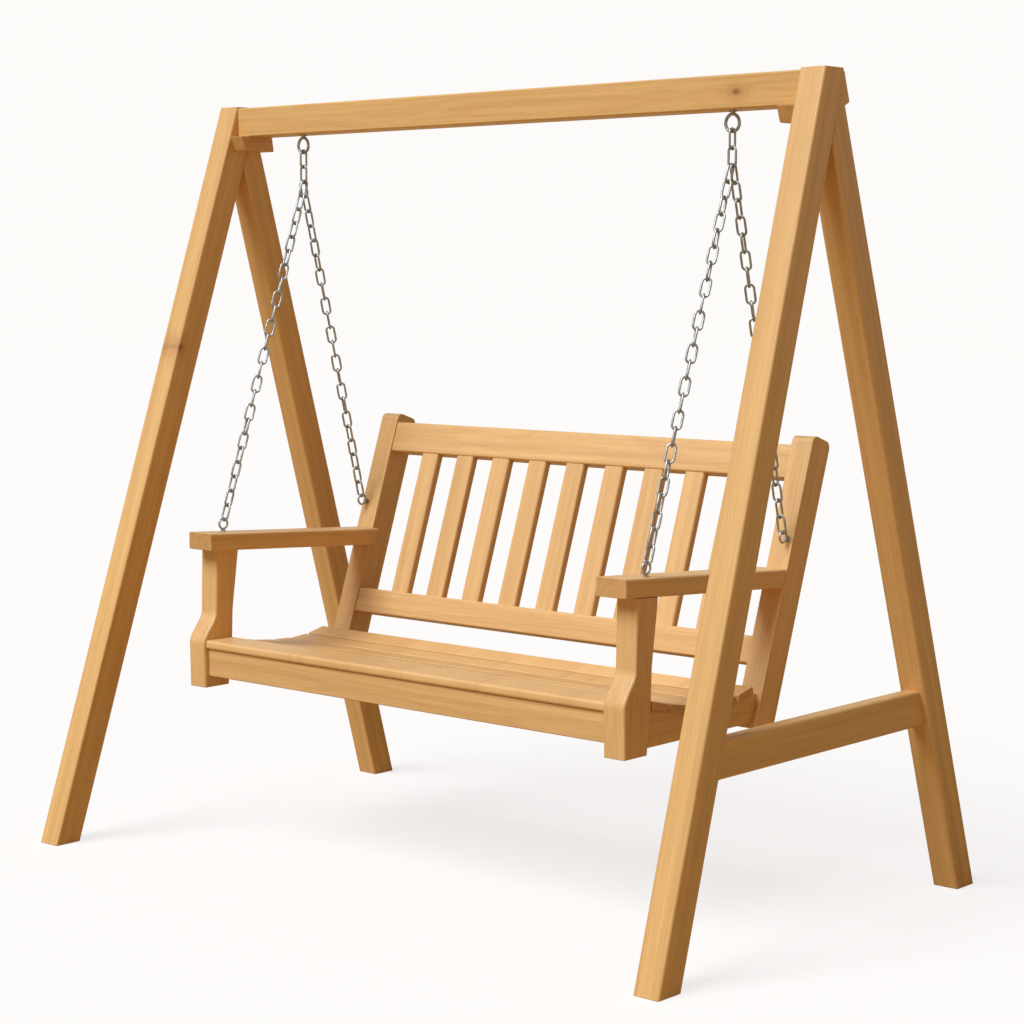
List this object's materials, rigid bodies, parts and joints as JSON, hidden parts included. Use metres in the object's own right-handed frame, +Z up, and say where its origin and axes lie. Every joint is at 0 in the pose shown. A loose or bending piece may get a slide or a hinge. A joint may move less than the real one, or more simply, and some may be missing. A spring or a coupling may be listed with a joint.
{
  "type": "porch swing",
  "caption": "Free-standing wooden porch swing: slatted bench with arms hung on V-shaped chains from a beam between two A-frames.",
  "frame": {"origin": "on the ground at the centre of the footprint", "axes": "+X along the beam to the sitter's left, the right side as seen from the front; -Y is the front, where a person sits down; +Z up"},
  "size_m": [1.856, 1.1362, 1.75],
  "materials": {
    "stand_wood": "satin",
    "bench_wood": "satin",
    "steel": "galvanised"
  },
  "bodies": {
    "stand": {"front_leg_left": "stand_wood", "front_leg_right": "stand_wood", "rear_leg_left": "stand_wood", "rear_leg_right": "stand_wood", "head_block_left": "stand_wood", "head_block_right": "stand_wood", "beam": "stand_wood", "cleat_left": "stand_wood", "cleat_right": "stand_wood", "crossbar": "stand_wood", "eye_bolts": "steel", "beam_washers": "steel", "beam_nuts": "steel"},
    "drop_links": {"drop_links_left": "steel", "drop_links_right": "steel"},
    "bench": {"front_chain_left": "steel", "front_chain_right": "steel", "rear_chain_left": "steel", "rear_chain_right": "steel", "eye_screws": "steel", "front_post_left": "bench_wood", "front_post_right": "bench_wood", "rear_post_left": "bench_wood", "rear_post_right": "bench_wood", "arm_left": "bench_wood", "arm_right": "bench_wood", "top_rail": "bench_wood", "lower_rail": "bench_wood", "apron": "bench_wood", "rear_seat_rail": "bench_wood", "side_rail_left": "bench_wood", "side_rail_right": "bench_wood", "centre_support": "bench_wood", "seat_nosing": "bench_wood", "seat_slat_1": "bench_wood", "seat_slat_2": "bench_wood", "seat_slat_3": "bench_wood", "seat_slat_4": "bench_wood", "seat_slat_5": "bench_wood", "seat_slat_6": "bench_wood", "back_slat_1": "bench_wood", "back_slat_2": "bench_wood", "back_slat_3": "bench_wood", "back_slat_4": "bench_wood", "back_slat_5": "bench_wood", "back_slat_6": "bench_wood", "back_slat_7": "bench_wood", "back_slat_8": "bench_wood", "back_slat_9": "bench_wood"}
  },
  "joints": [
    {"name": "hanger_swing", "type": "hinge", "parent": "stand", "child": "drop_links", "pos_m": [0, 0.036, 1.633], "axis": [1, 0, 0], "range_deg": [-25, 25]},
    {"name": "bench_swing", "type": "hinge", "parent": "drop_links", "child": "bench", "pos_m": [0, 0.036, 1.5603], "axis": [1, 0, 0], "range_deg": [-12, 12]}
  ]
}
